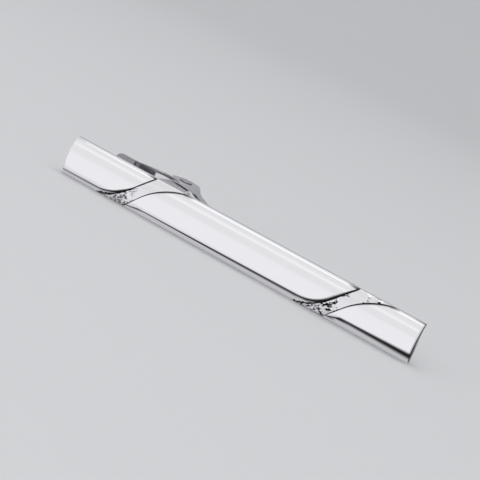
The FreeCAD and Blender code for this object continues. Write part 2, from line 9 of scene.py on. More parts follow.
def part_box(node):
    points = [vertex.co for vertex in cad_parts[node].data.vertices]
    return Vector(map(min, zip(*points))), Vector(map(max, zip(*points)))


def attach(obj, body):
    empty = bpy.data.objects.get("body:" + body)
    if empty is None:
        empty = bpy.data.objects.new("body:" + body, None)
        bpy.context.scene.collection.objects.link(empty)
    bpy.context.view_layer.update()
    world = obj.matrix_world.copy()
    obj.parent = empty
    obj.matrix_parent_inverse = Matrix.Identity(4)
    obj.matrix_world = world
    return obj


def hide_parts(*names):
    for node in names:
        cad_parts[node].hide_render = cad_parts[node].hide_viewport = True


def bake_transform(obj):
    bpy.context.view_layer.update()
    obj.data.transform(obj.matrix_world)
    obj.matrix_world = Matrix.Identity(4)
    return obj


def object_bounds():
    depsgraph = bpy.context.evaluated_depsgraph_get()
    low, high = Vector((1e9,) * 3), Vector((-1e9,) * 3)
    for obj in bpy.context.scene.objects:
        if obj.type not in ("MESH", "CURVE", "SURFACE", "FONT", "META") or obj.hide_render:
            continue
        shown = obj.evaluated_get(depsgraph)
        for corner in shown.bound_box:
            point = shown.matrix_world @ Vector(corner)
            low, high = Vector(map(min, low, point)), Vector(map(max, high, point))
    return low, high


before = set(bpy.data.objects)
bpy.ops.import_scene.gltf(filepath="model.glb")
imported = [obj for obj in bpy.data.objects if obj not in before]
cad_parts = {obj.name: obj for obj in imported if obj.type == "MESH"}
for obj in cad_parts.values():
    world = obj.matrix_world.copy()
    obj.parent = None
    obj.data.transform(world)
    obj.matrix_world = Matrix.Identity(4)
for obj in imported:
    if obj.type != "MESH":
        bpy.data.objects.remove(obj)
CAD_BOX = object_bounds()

bl_info = {
    "name": "Tie Clip",
    "version": (1, 0, 0),
    "blender": (4, 5, 0),
    "location": "View3D > Sidebar > Tie Clip",
    "description": "Dresses a sprung tie clip: polished panels, rough bands, stamped clip and studio",
    "category": "Add Mesh",
}

MM = 0.001
ALONG = Vector((1, 0, 0))
ACROSS = Vector((0, 0, 1))

# Places from the frame

BAR_LOW, BAR_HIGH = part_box("base_bar")
PANEL_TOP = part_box("middle_panel")[1].z
BAND_BOXES = {"left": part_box("left_inlay"), "right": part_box("right_inlay")}
BAND_MIDDLES = {side: (low.x + high.x) / 2 for side, (low, high) in BAND_BOXES.items()}


# Sizes and colours that a user would change

def length(label, note, value):
    return FloatProperty(name=label, description=note, default=value, unit="LENGTH", precision=5)


def colour(label, note, value):
    return FloatVectorProperty(name=label, description=note, default=value, subtype="COLOR",
                               size=3, min=0.0, max=1.0)


class TieClipSizes(bpy.types.PropertyGroup):
    """Sizes of the bar's front that the frame's boxes don't give."""
    bar_edge: length("Bar edge", "Thickness of the backing strip at its long edges", 0.65 * MM)
    film: length("Solder film", "Film between the strip and what is sweated on it", 0.02 * MM)
    panel_thick: length("Panel thickness", "Thickness of a polished panel under its raised face", 0.45 * MM)
    face_step: length("Face step", "How far a raised face stands back from its panel's other edges",
                      0.06 * MM)
    face_roll: length("Face roll", "Width of a raised face's rolled rim", 0.20 * MM)
    skirt_thick: length("Skirt thickness", "Thickness of the step along a panel's lower edge", 0.25 * MM)
    skirt_left: length("Skirt, left", "Width of the skirt at the bar's left end", 0.65 * MM)
    skirt_right: length("Skirt, right", "Width of the skirt at the bar's right end", 1.10 * MM)
    skirt_start: length("Skirt start", "Width of the skirt at a panel's sharp lower corner", 0.40 * MM)
    skirt_slope: length("Skirt slope", "Length in which the skirt gains its width", 2.20 * MM)
    band_thick: length("Band thickness", "Mean thickness of a rough band", 0.18 * MM)
    band_lead: length("Band lead", "Reach of a panel's sharp corner past its band's middle", 1.60 * MM)
    band_knee_run: length("Knee run", "Length of a panel end's straight stretch along the bar", 2.45 * MM)
    band_blunt_run: length("Blunt run", "Length of a whole panel end along the bar", 8.50 * MM)
    face_blunt_run: length("Face blunt run", "Length of a raised face's lower end along the bar", 7.80 * MM)
    band_gap: length("Band gap", "Gap along the bar between a band and a panel", 0.08 * MM)
    knee_share: FloatProperty(name="Knee share", default=0.45, min=0.1, max=0.9, subtype="FACTOR",
                              description="Share of the width that the straight stretch crosses")
    cut_step: length("Cut step", "Width of the strips that let a panel follow the crown", 0.18 * MM)
    flake: length("Flake", "Width of the flakes on a rough band", 0.22 * MM)
    flake_high: length("Flake height", "How far the flakes stand in and out of a rough band", 0.11 * MM)


class TieClipFinish(bpy.types.PropertyGroup):
    """Colours of the metals and the studio."""
    polish: colour("Polished plate", "Colour of the mirror-polished panels", (0.90, 0.90, 0.92))
    strip: colour("Backing strip", "Colour of the plated backing strip", (0.80, 0.80, 0.82))
    rough: colour("Rough plate", "Colour of the crumpled bands", (0.88, 0.88, 0.90))
    stamping: colour("Clip sheet", "Colour of the stamped clip", (0.60, 0.60, 0.62))
    steel: colour("Steel", "Colour of the pin and the spring", (0.54, 0.54, 0.56))
    # Black painted into the metal's colour as painted shade and painted dark reflection round the panels
    # and in the bands' pits
    painted_shade: colour("Groove", "Colour of the blackened grooves round the panels", (0.02, 0.02, 0.022))
    floor: colour("Floor", "Colour of the studio floor", (0.56, 0.56, 0.57))


def sizes():
    return bpy.context.scene.tie_clip_sizes


def finish_colours():
    return bpy.context.scene.tie_clip_finish


# Shader maths

# Attribute that says where the painted shade and painted dark reflection go
PAINTED_SHADE = "painted_shade"
MIX_FIRST, MIX_SECOND, MIX_RESULT = 6, 7, 2


class Term:
    """A shader socket that sums and products can be written with."""

    def __init__(self, shader, socket):
        self.shader = shader
        self.socket = socket

    def _math(self, operation, first, second):
        return self.shader.node("ShaderNodeMath", {"operation": operation}, {0: first, 1: second})

    def __add__(self, other):
        return self._math("ADD", self, other)

    def __radd__(self, other):
        return self._math("ADD", other, self)

    def __mul__(self, other):
        return self._math("MULTIPLY", self, other)

    def __rmul__(self, other):
        return self._math("MULTIPLY", other, self)


class Shader:
    """The node tree of a material or the sky, filled through one method."""

    def __init__(self, name, owners=None):
        self.owner = (bpy.data.materials if owners is None else owners).new(name)
        self.owner.use_nodes = True
        self.tree = self.owner.node_tree
        self.tree.nodes.clear()

    def node(self, kind, settings=None, sockets=None, output=0):
        item = self.tree.nodes.new(kind)
        for key, value in (settings or {}).items():
            setattr(item, key, value)
        for key, value in (sockets or {}).items():
            if isinstance(value, Term):
                self.tree.links.new(value.socket, item.inputs[key])
            else:
                item.inputs[key].default_value = value
        return Term(self, item.outputs[output])

    def place(self, kind="Object"):
        return self.node("ShaderNodeTexCoord", output=kind)

    def along(self, axis, kind="Object"):
        return self.node("ShaderNodeSeparateXYZ", None, {0: self.place(kind)}, output=axis)

    def stretched(self, scales=(1.0, 1.0, 1.0)):
        """Object coordinates in millimetres, stretched by a factor along each axis."""
        return self.node("ShaderNodeMapping", None,
                         {"Vector": self.place(), "Scale": tuple(each / MM for each in scales)})

    def cloud(self, vector, scale, detail):
        return self.node("ShaderNodeTexNoise", None, {"Vector": vector, "Scale": scale, "Detail": detail})

    def limits(self, value, span, to=(0.0, 1.0)):
        """A value carried from one span to another, and held between its ends."""
        return self.node("ShaderNodeMapRange", {"clamp": True},
                         {"Value": value, "From Min": span[0], "From Max": span[1],
                          "To Min": to[0], "To Max": to[1]})

    def mix(self, factor, first, second):
        """A colour between two, each of them a link or three numbers."""
        first, second = (each if isinstance(each, Term) else (*each, 1.0) for each in (first, second))
        return self.node("ShaderNodeMix", {"data_type": "RGBA"},
                         {"Factor": factor, MIX_FIRST: first, MIX_SECOND: second}, output=MIX_RESULT)

    def bump(self, height, strength, depth):
        return self.node("ShaderNodeBump", None,
                         {"Height": height, "Strength": strength, "Distance": depth})

    def painted_shade(self):
        """How much painted shade and painted dark reflection a point takes, from the piece's own attribute.
        """
        return self.node("ShaderNodeAttribute", {"attribute_name": PAINTED_SHADE}, output="Fac")

    def metal(self, sockets):
        return self.node("ShaderNodeBsdfPrincipled", None, {"Metallic": 1.0, **sockets})

    def mirrored(self, plain, seen_in_metal):
        """One shader for most rays, and another for those that come off polished metal."""
        metal_ray = self.node("ShaderNodeLightPath", output="Is Glossy Ray")
        return self.node("ShaderNodeMixShader", None, {"Fac": metal_ray, 1: plain, 2: seen_in_metal})

    def close(self, surface, kind="ShaderNodeOutputMaterial"):
        end = self.tree.nodes.new(kind)
        self.tree.links.new(surface.socket, end.inputs["Surface"])
        return self.owner


# Finishes

HAIRLINE_SCALES = (0.25, 9.0, 9.0)
HAZE_SPAN = (0.35, 0.75)
GRAIN_SPAN = (0.3, 0.7)
POLISHED_ROUGHNESS = (0.07, 0.13)
CRUMPLED_ROUGHNESS = (0.16, 0.30)
STAMPED_ROUGHNESS = (0.11, 0.20)
STEEL_ROUGHNESS = (0.20, 0.34)
HAIRLINE_ROUGHNESS = 0.03
# Extra roughness where the painted shade and painted dark reflection lie
PANEL_SHADE_ROUGHNESS = 0.35
BAND_SHADE_ROUGHNESS = 0.3
BACK_SPAN = (-0.03 * MM, -0.01 * MM)
BACK_SATIN = 0.12
BACK_HAIRLINES = 3.0
GRAIN_RELIEF = 0.4


def shade(base, share):
    return tuple(each * share for each in base)


def polished_plate(name, base, satin=0.0):
    """Mirror-polished plate with hairlines along the bar, a faint haze, and painted shade and painted dark
    reflection in its grooves and along its rims.

    satin is how much rougher the plate is on the bar's back.
    """
    shader = Shader(name)
    hairlines = shader.cloud(shader.stretched(HAIRLINE_SCALES), scale=1.0, detail=2.0)
    haze = shader.cloud(shader.stretched(), scale=0.35, detail=4.0)
    painted_shade = shader.painted_shade()
    behind = shader.limits(shader.along("Y"), BACK_SPAN)
    bright = shader.mix(haze, shade(base, share=0.97), base)
    roughness = shader.limits(haze, HAZE_SPAN, POLISHED_ROUGHNESS) + hairlines * HAIRLINE_ROUGHNESS
    relief = hairlines + hairlines * behind * BACK_HAIRLINES
    return shader.close(shader.metal({
        # Painted shade and painted dark reflection: the colour turns black where the attribute says
        "Base Color": shader.mix(painted_shade, bright, finish_colours().painted_shade),
        "Roughness": roughness + painted_shade * PANEL_SHADE_ROUGHNESS + behind * satin,
        "Normal": shader.bump(relief, strength=0.04, depth=0.01 * MM),
    }))


def crumpled_plate(name, base):
    """Plate over a finely grained surface, with painted shade in the deep places between its flakes."""
    shader = Shader(name)
    spot = shader.stretched()
    grain = shader.cloud(spot, scale=9.0, detail=3.0)
    ripple = shader.cloud(spot, scale=2.6, detail=2.0)
    painted_shade = shader.painted_shade()
    bright = shader.mix(grain, shade(base, share=0.90), base)
    roughness = shader.limits(grain, GRAIN_SPAN, CRUMPLED_ROUGHNESS)
    return shader.close(shader.metal({
        # Painted shade: the colour turns black in the deep places and along the painted line
        "Base Color": shader.mix(painted_shade, bright, finish_colours().painted_shade),
        "Roughness": roughness + painted_shade * BAND_SHADE_ROUGHNESS,
        "Normal": shader.bump(grain * GRAIN_RELIEF + ripple, strength=0.30, depth=0.05 * MM),
    }))


def stamped_plate(name, base):
    """Tumbled sheet metal: a soft shine with a fine grain and a faint haze."""
    shader = Shader(name)
    spot = shader.stretched()
    grain = shader.cloud(spot, scale=7.0, detail=4.0)
    haze = shader.cloud(spot, scale=0.5, detail=3.0)
    return shader.close(shader.metal({
        "Base Color": shader.mix(haze, shade(base, share=0.88), base),
        "Roughness": shader.limits(grain, GRAIN_SPAN, STAMPED_ROUGHNESS),
        "Normal": shader.bump(grain, strength=0.08, depth=0.02 * MM),
    }))


def drawn_steel(name, base):
    """Drawn or turned steel with a fine grain."""
    shader = Shader(name)
    grain = shader.cloud(shader.stretched(), scale=11.0, detail=3.0)
    return shader.close(shader.metal({
        "Base Color": shader.mix(grain, shade(base, share=0.88), base),
        "Roughness": shader.limits(grain, GRAIN_SPAN, STEEL_ROUGHNESS),
        "Normal": shader.bump(grain, strength=0.10, depth=0.02 * MM),
    }))


# Modelling helpers

SLIVER = 0.001 * MM
SHARP_EDGE = math.radians(40.0)
FACE_WEIGHT = 100


def clamped(value):
    return min(1.0, max(0.0, value))


def object_mode():
    """Leave edit mode, with nothing selected."""
    if bpy.context.object and bpy.context.object.mode != "OBJECT":
        bpy.ops.object.mode_set(mode="OBJECT")
    bpy.ops.object.select_all(action="DESELECT")


def activate(piece):
    """Select one piece alone, in object mode."""
    object_mode()
    bpy.context.view_layer.objects.active = piece
    piece.select_set(True)


def edit(piece, select="SELECT"):
    """Enter edit mode on one piece, with all or none of it selected."""
    activate(piece)
    bpy.ops.object.mode_set(mode="EDIT")
    bpy.ops.mesh.select_mode(type="VERT")
    bpy.ops.mesh.select_all(action=select)


def extrude(move):
    bpy.ops.mesh.extrude_region_move(TRANSFORM_OT_translate={"value": move})


def trace_face(name, points):
    """One face through points in space, drawn by extruding a single vertex from point to point."""
    object_mode()
    bpy.ops.mesh.primitive_plane_add(size=MM)
    piece = bpy.context.object
    piece.name = name
    piece.data.name = name
    bpy.ops.object.mode_set(mode="EDIT")
    bpy.ops.mesh.merge(type="CENTER")
    bpy.ops.transform.translate(value=points[0])
    for start, end in zip(points, [*points[1:], points[0]]):
        extrude(end - start)
    bpy.ops.mesh.select_all(action="SELECT")
    bpy.ops.mesh.remove_doubles(threshold=SLIVER)
    bpy.ops.mesh.edge_face_add()
    return piece


def modify(piece, kind, **settings):
    """Add a modifier and apply it."""
    activate(piece)
    item = piece.modifiers.new(kind.title(), kind)
    for key, value in settings.items():
        setattr(item, key, value)
    bpy.ops.object.modifier_apply(modifier=item.name)


def drop_slivers(piece):
    """Merge points that coincide and drop the faces that are left without area."""
    edit(piece)
    bpy.ops.mesh.remove_doubles(threshold=SLIVER)
    bpy.ops.mesh.dissolve_degenerate(threshold=SLIVER)


def smooth(piece, sharp=SHARP_EDGE):
    """Smooth shading that keeps sharp edges sharp and flat faces flat, once slivers are gone."""
    drop_slivers(piece)
    activate(piece)
    bpy.ops.object.shade_smooth_by_angle(angle=sharp)
    modify(piece, "WEIGHTED_NORMAL", keep_sharp=True, weight=FACE_WEIGHT)


def outward(piece):
    """Turn every face of a piece outwards."""
    edit(piece)
    bpy.ops.mesh.normals_make_consistent(inside=False)
    object_mode()


def dress(piece, material, body, node):
    """Give a finished piece its material in one slot and any body that it rides on, and hide the node that
    it stands for.
    """
    object_mode()
    piece.data.materials.clear()
    piece.data.materials.append(material)
    if body:
        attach(piece, body)
    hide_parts(node)


# Shape of the bar's front: outlines lie along X and across Z, and height stands along -Y

CROWN_STEPS = 28
STRIP_ROUND = 0.10 * MM
STRIP_SEGMENTS = 4
STRIP_EDGE = math.radians(30.0)
# Width of the painted dark reflection line on the strip just above and below the panels
STRIP_LINE = 0.04 * MM
STRIP_FRONT = -0.6 * MM
ARC_STEPS = 14


def crown_radius():
    """Radius of the strip's crowned front."""
    half = BAR_HIGH.z
    rise = -BAR_LOW.y - sizes().bar_edge
    return (half ** 2 + rise ** 2) / (2 * rise)


def crown_y(z, height):
    """Place across the thickness of a point that stands height above the strip's crowned front."""
    radius = crown_radius()
    return BAR_LOW.y + radius - math.sqrt((radius + height) ** 2 - z ** 2)


def follow_crown(piece):
    """Bend a piece that was modelled flat over the strip's crown."""
    object_mode()
    for vertex in piece.data.vertices:
        vertex.co.y = crown_y(vertex.co.z, -vertex.co.y)
    piece.data.update()


def flat_box(corners):
    """Lowest and highest corner of a box as points of an outline."""
    return [Vector((corner.x, corner.z)) for corner in corners]


def blunt_arc(knee, blunt, along):
    """Points of the arc from a knee to a blunt corner that leaves the knee in a given direction."""
    side = Vector((along.y, -along.x)).normalized()
    span = blunt - knee
    radius = span.length_squared / (2 * span.dot(side))
    centre = knee + side * radius
    first, last = (math.atan2(*reversed(each - centre)) for each in (knee, blunt))
    sweep = (last - first + math.pi) % (2 * math.pi) - math.pi
    spots = []
    for step in range(ARC_STEPS + 1):
        angle = first + sweep * step / ARC_STEPS
        spots.append(centre + abs(radius) * Vector((math.cos(angle), math.sin(angle))))
    return spots


def face_foot(x):
    """Height of a raised face's lower edge at a place along the bar."""
    size = sizes()
    share = (x - BAR_LOW.x) / (BAR_HIGH.x - BAR_LOW.x)
    return -(BAR_HIGH.z - size.skirt_left - (size.skirt_right - size.skirt_left) * share)


def panel_end(middle, step=0.0, raised=False):
    """Points of a panel's right end beside a band, from its sharp top corner down to its blunt one.

    middle is the band's middle along the bar, step a setback from the band, and raised ends the points
    at the foot of the raised face.
    """
    size = sizes()
    half = BAR_HIGH.z
    sharp = Vector((middle + size.band_lead - step, half))
    knee = sharp - Vector((size.band_knee_run, 2 * half * size.knee_share))
    blunt = Vector((sharp.x - size.band_blunt_run, -half))
    if raised:
        blunt.x = sharp.x - size.face_blunt_run
        blunt.y = face_foot(blunt.x)
    return [sharp, *blunt_arc(knee, blunt, knee - sharp)]


def turned(points, middle):
    """The same end on the other side of the band: a half turn about the band's middle."""
    return [Vector((2 * middle - point.x, -point.y)) for point in points]


def shifted(points, run):
    """The same points moved along the bar."""
    return [Vector((point.x + run, point.y)) for point in points]


def face_start(end):
    """Sharp lower corner of a raised face, and the point where its skirt has gained its width."""
    size = sizes()
    sharp, knee = end[0], end[1]
    start = sharp.lerp(knee, size.skirt_start / (knee.y - sharp.y))
    gained = start.x + size.skirt_slope
    return [start, Vector((gained, face_foot(gained)))]


# Dark lines of painted shade and painted dark reflection: widths in millimetres along each edge of a raised
# face, and along a band's left edge

LINE_WIDTHS = {
    "left_panel": {
        "foot": (0.07, 0.14),
        "right_arc": (0.14, 0.24, 0.32, 0.06),
        "right_slant": (0.05, 0.05),
    },
    "middle_panel": {
        "foot": (0.03, 0.14, 0.30),
        "right_arc": (0.30, 0.36, 0.46),
        "right_slant": (0.44, 0.10),
        "left_arc": (0.20, 0.26, 0.08),
        "left_slant": (0.06, 0.02),
    },
    "right_panel": {
        "foot": (0.05, 0.30, 0.58),
        "bar_end": (0.10, 0.07),
        "left_arc": (0.20, 0.24, 0.07),
        "left_slant": (0.05, 0.01),
    },
}
BAND_LINE_WIDTHS = (0.03, 0.10, 0.24, 0.30)
# How dark the painted lines start and how fast they fade, and the same for the painted shade low on the
# panels' walls
LINE_DARK, LINE_FADE = 1.6, 1.5
WALL_DARK, WALL_FADE = 1.3, 2.0


def tapered(points, widths):
    """A line with a width at each point, spread evenly over a list of widths in millimetres."""
    line = []
    for number, point in enumerate(points):
        place = number / (len(points) - 1) * (len(widths) - 1)
        before = min(int(place), len(widths) - 2)
        wide, wider = (each * MM for each in widths[before:before + 2])
        line.append((point, wide + (wider - wide) * (place - before)))
    return line


def line_share(place, line):
    """How far a point lies in a dark line of varying width."""
    spot = Vector((place.x, place.z))
    nearest = math.inf
    for (start, wide), (end, wider) in zip(line, line[1:]):
        span = end - start
        along = clamped((spot - start).dot(span) / span.length_squared)
        width = wide + (wider - wide) * along
        nearest = min(nearest, (spot - start - span * along).length / width)
    return LINE_DARK - LINE_FADE * nearest


def painted_shade_mark(piece):
    """A new attribute of a piece's points, which says how much painted shade and painted dark reflection
    each takes.
    """
    return piece.data.attributes.new(PAINTED_SHADE, "FLOAT", "POINT")


def paint_shade(piece, share):
    """Mark how much painted shade and painted dark reflection each point takes, by a function of its place.
    """
    object_mode()
    mark = painted_shade_mark(piece)
    for number, vertex in enumerate(piece.data.vertices):
        mark.data[number].value = clamped(share(vertex.co))


# Polished panels

ROLL_STEPS = 7
RIM_RINGS = (0.10 * MM, 0.12 * MM, 0.14 * MM, 0.16 * MM)
LONG_STEP = 2 * MM


def cut_strips(piece, step, low, high, normal):
    """Cut a piece across one axis into even strips."""
    edit(piece)
    count = math.ceil((high - low) / step)
    for number in range(1, count):
        bpy.ops.mesh.select_all(action="SELECT")
        bpy.ops.mesh.bisect(plane_co=normal * (low + (high - low) * number / count), plane_no=normal)


def trim(low, high):
    """Cut the flat face that is being edited back to a box along and across the bar."""
    for corner, sign in ((low, -1), (high, 1)):
        for normal in (ALONG * sign, ACROSS * sign):
            bpy.ops.mesh.select_all(action="SELECT")
            bpy.ops.mesh.bisect(plane_co=(corner.x, 0, corner.y), plane_no=normal, clear_outer=True)
    bpy.ops.mesh.select_all(action="SELECT")


def flat_sheet(name, outline, low, high, base):
    """A face at one height, cut back to a box and left in edit mode with all of it selected."""
    piece = trace_face(name, [Vector((point.x, -base, point.y)) for point in outline])
    trim(low, high)
    return piece


def raised_plate(name, outline, low, high, base, top, roll):
    """A flat plate between two heights, cut back to a box, with a rolled-over rim."""
    piece = flat_sheet(name, outline, low, high, base)
    extrude((0, base + roll - top, 0))
    for step in range(ROLL_STEPS):
        before, after = (math.pi / 2 * each / ROLL_STEPS for each in (step, step + 1))
        bpy.ops.mesh.inset(thickness=roll * (math.cos(before) - math.cos(after)))
        bpy.ops.transform.translate(value=(0, roll * (math.sin(before) - math.sin(after)), 0))
    return piece


def panel(name, skirt_outline, face_outline, low, high, lines):
    """A polished panel: a thin skirt, and a raised face with a rolled rim and dark lines of painted shade
    and painted dark reflection round it.
    """
    size = sizes()
    inset = Vector((size.face_step, size.face_step))
    skirt = raised_plate(name, skirt_outline, low, high, size.film, size.film + size.skirt_thick,
                         size.face_step)
    face = raised_plate(name + "_face", face_outline, low + inset, high - inset,
                        size.film + size.skirt_thick / 2, size.film + size.panel_thick, size.face_roll)
    for ring in RIM_RINGS:
        bpy.ops.mesh.inset(thickness=ring)
    outward(face)
    outward(skirt)
    modify(skirt, "BOOLEAN", operation="UNION", solver="EXACT", object=face)
    activate(face)
    bpy.ops.object.delete()
    cut_strips(skirt, size.cut_step, low.y, high.y, ACROSS)
    cut_strips(skirt, LONG_STEP, low.x, high.x, ALONG)

    # Painted shade low on the walls, and painted shade and dark reflection along the raised face's edges
    def dark(place):
        height = -place.y - size.film
        wall = WALL_DARK - WALL_FADE * height / size.skirt_thick
        return max(wall, *(line_share(place, line) for line in lines))

    paint_shade(skirt, dark)
    follow_crown(skirt)
    outward(skirt)
    smooth(skirt)
    return skirt


# Rough bands: the left part of each is flaked, and in the right one a patch further along too

BAND_VOXEL = 0.045 * MM
FLAKE_EDGE = math.radians(28.0)
FLAKE_TURN = math.radians(28.0)
FLAKE_STRETCH = 1.8
FLAKE_TOP = 0.26 * MM
FLAKE_RISE, FLAKE_DROP, FLAKE_LEAN = 1.0, 2.0, 2.6
TILT_SEED, TILT_MIDDLE = 7.3, 0.5
LEVEL_SEED = 3.1
# Painted shade and painted dark reflection: black along the cracks between flakes and in low flakes,
# stronger where a band is more flaked
CRACK_LEVEL, CRACK_DARK, CRACK_WIDTH = 0.25, 1.9, 0.13
DEEP_LEVEL, DEEP_FADE = 0.64, 9.0
PIT_SHADE_FADE, PIT_SHADE_START = 1.5, 0.3
FLAKED_END, FLAKED_FADE = 0.48, 0.16
PATCH_MIDDLE, PATCH_HALF, PATCH_WANDER = 0.84, 0.12, 0.5
WANDER, WANDER_STEP = 0.3, 0.8 * MM
RAGGED = 0.45 * MM
RAGGED_START = 5.0 * MM
RAGGED_STEP = 0.35 * MM
RAGGED_DEPTH = 0.5 * MM
PATCHES = {"left": 0.0, "right": 0.8}
# How black the painted shade in each band's deep places is
PIT_SHADES = {"left": 0.55, "right": 1.0}


def flakes(place, share):
    """Height and painted shade of a rough band's surface at a place, where share of it is flaked."""
    size = sizes()
    along = place.x * math.cos(FLAKE_TURN) + place.z * math.sin(FLAKE_TURN)
    across = place.z * math.cos(FLAKE_TURN) - place.x * math.sin(FLAKE_TURN)
    spot = Vector((along / FLAKE_STRETCH, across, 0)) / size.flake
    (near, next_near, *_), (centre, *_) = noise.voronoi(spot)
    tilt = noise.cell_vector(centre * TILT_SEED)
    level = noise.cell(centre * LEVEL_SEED)
    lean = (spot - centre).dot(Vector((tilt.x - TILT_MIDDLE, tilt.y - TILT_MIDDLE, 0)))
    # Painted shade along the cracks between flakes and in the low flakes
    crack = (level > CRACK_LEVEL) * (CRACK_DARK - (next_near - near) / CRACK_WIDTH)
    deep = (level - DEEP_LEVEL) * DEEP_FADE
    rise = min(FLAKE_TOP, size.flake_high * (FLAKE_RISE - FLAKE_DROP * level + FLAKE_LEAN * lean))
    return share * rise, min(1.0, max(0.0, share * PIT_SHADE_FADE - PIT_SHADE_START) * max(0.0, crack, deep))


def flaked_share(place, low, high, patch):
    """How far a band is flaked at a place, with a patch of a given strength in its right part."""
    along = (place.x - low.x) / (high.x - low.x)
    wander = WANDER * noise.noise(place / WANDER_STEP)
    in_patch = patch * (1.0 - abs(along - PATCH_MIDDLE + PATCH_WANDER * wander) / PATCH_HALF)
    return clamped(max((FLAKED_END - along + wander) / FLAKED_FADE, in_patch))


def crumple_band(name, outline, low, high, patch, pit_shade, line):
    """A rough band: fine-grained plate that breaks up into tilted flakes.

    patch is the strength of the flaked patch in its right part, and pit_shade is how black the painted
    shade in the deep places between the flakes is.
    """
    size = sizes()
    piece = flat_sheet(name, outline, low, high, size.film)
    extrude((0, -size.band_thick, 0))
    outward(piece)
    modify(piece, "REMESH", mode="VOXEL", voxel_size=BAND_VOXEL)
    floor_y = -size.film - size.band_thick / 2
    mark = painted_shade_mark(piece)
    for number, vertex in enumerate(piece.data.vertices):
        place = vertex.co
        share = flaked_share(place, low, high, patch)
        rise, deep = flakes(place, share)
        if place.y < floor_y:
            place.y = min(floor_y, place.y - rise)
            # Painted shade in the deep places, and a painted dark line along the band's left edge
            mark.data[number].value = clamped(max(pit_shade * deep, line_share(place, line)))
        whole = min(1.0, (place.x - low.x) / RAGGED_START)
        bite = 0.5 + 0.5 * noise.cell(Vector((place.x / RAGGED_STEP, 0, 0)))
        below = clamped((low.y + RAGGED_DEPTH - place.z) / RAGGED_DEPTH)
        place.z += whole * share * RAGGED * bite * below
    follow_crown(piece)
    outward(piece)
    smooth(piece, FLAKE_EDGE)
    return piece


# Clip and spring, from the frame's own pieces

FLAT_ANGLE = math.radians(1.0)
STAMPED_EDGE = math.radians(35.0)
STAMPED_SEGMENTS = 2
STAMPED_ROUND = 0.07 * MM
PIN_ROUND = 0.05 * MM
LEVER_BEND = 0.55 * MM
BEND_SEGMENTS = 6
LEAST_BEND, MOST_BEND = math.radians(14.0), math.radians(60.0)
STRAIGHT_ACROSS = 0.99
TOOTH_TOP = 0.8 * MM
WIRE_EDGE = math.radians(50.0)


def merged_copy(name, node):
    """A copy of one of the frame's pieces with its loose triangles joined."""
    object_mode()
    piece = bpy.data.objects.new(name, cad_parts[node].data.copy())
    bpy.context.scene.collection.objects.link(piece)
    edit(piece)
    bpy.ops.mesh.remove_doubles(threshold=SLIVER)
    object_mode()
    return piece


def round_bends(piece, width):
    """Round the lines across the width where a sheet is bent, and no others."""
    edit(piece, "DESELECT")
    bpy.ops.mesh.select_mode(type="EDGE")
    mesh = bmesh.from_edit_mesh(piece.data)
    for edge in mesh.edges:
        run = edge.verts[1].co - edge.verts[0].co
        across = abs(run.z) > STRAIGHT_ACROSS * run.length and edge.verts[0].co.y > TOOTH_TOP
        edge.select_set(across and LEAST_BEND < edge.calc_face_angle(0.0) < MOST_BEND)
    bmesh.update_edit_mesh(piece.data)
    bpy.ops.mesh.bevel(offset=width, segments=BEND_SEGMENTS)


def softened_copy(name, node, width, bend_width=0.0):
    """A stamped piece with the frame's own form, and its edges and any bends rounded over."""
    piece = merged_copy(name, node)
    edit(piece)
    bpy.ops.mesh.dissolve_limited(angle_limit=FLAT_ANGLE)
    if bend_width:
        round_bends(piece, bend_width)
    outward(piece)
    modify(piece, "BEVEL", width=width, segments=STAMPED_SEGMENTS, limit_method="ANGLE",
           angle_limit=STAMPED_EDGE, use_clamp_overlap=True)
    smooth(piece)
    return piece


# Studio, in metres: the glows are what polished metal sees of the floor, by its place across the bar.
# They are a painted reflection: the dark tones by the bar's foot and under the clip are painted contact
# shadow, and the brighter tone low down is a painted highlight

FLOOR_RADIUS = 0.6
FLOOR_CORNERS = 96
FLOOR_ROUGHNESS = 0.9
WALL_SWEEP = 0.5
WALL_STEPS = 12
FRONT_GLOW = (0.86, 0.86, 0.87)
LOW_HIGHLIGHT_GLOW = (0.93, 0.93, 0.95)
LOW_RISE = 0.12
FOOT_SHADOW_GLOW = (0.51, 0.51, 0.53)
CLIP_SHADOW_GLOW = (0.34, 0.34, 0.35)
NEAR_GLOW = (0.76, 0.76, 0.78)
BACK_GLOW = (0.50, 0.50, 0.52)
FLOOR_GLOWS = (
    ((-3.4 * MM, -1.0 * MM), FOOT_SHADOW_GLOW),
    ((-0.8 * MM, 0.2 * MM), CLIP_SHADOW_GLOW),
    ((6.0 * MM, 20.0 * MM), NEAR_GLOW),
    ((24.0 * MM, 60.0 * MM), BACK_GLOW),
)
SKY_COLOUR = (0.9, 0.92, 0.95, 1.0)
SKY_STRENGTH = 0.55
SKY_SPAN = (-0.2, 0.5)

# Each soft box has a place, a size, a brightness, where 1 shows as white in a mirror, and whether metal
# mirrors it
SOFT_BOXES = {
    "top_box": ((-0.1, 0.0, 1.2), (1.4, 1.4), 1.2, False),
    "front_box": ((-0.14, -0.42, 0.22), (0.8, 0.46), 0.88, False),
    "rim_box": ((0.0, 0.0, 1.0), (1.1, 1.1), 0.5, True),
    "streak": ((-0.135, -0.40, 0.205), (0.8, 0.06), 0.12, True),
}
SOFT_BOX_AIM = Vector((0, 0, 0))

CAMERA_PLACE = Vector((71.56, -196.9, 38.61)) * MM
CAMERA_RIGHT = Vector((0.8264, 0.3801, 0.4155))
CAMERA_BACK = Vector((0.3360, -0.9249, 0.1779))
CAMERA_LENS = 111.0
CAMERA_NEAR = 0.01


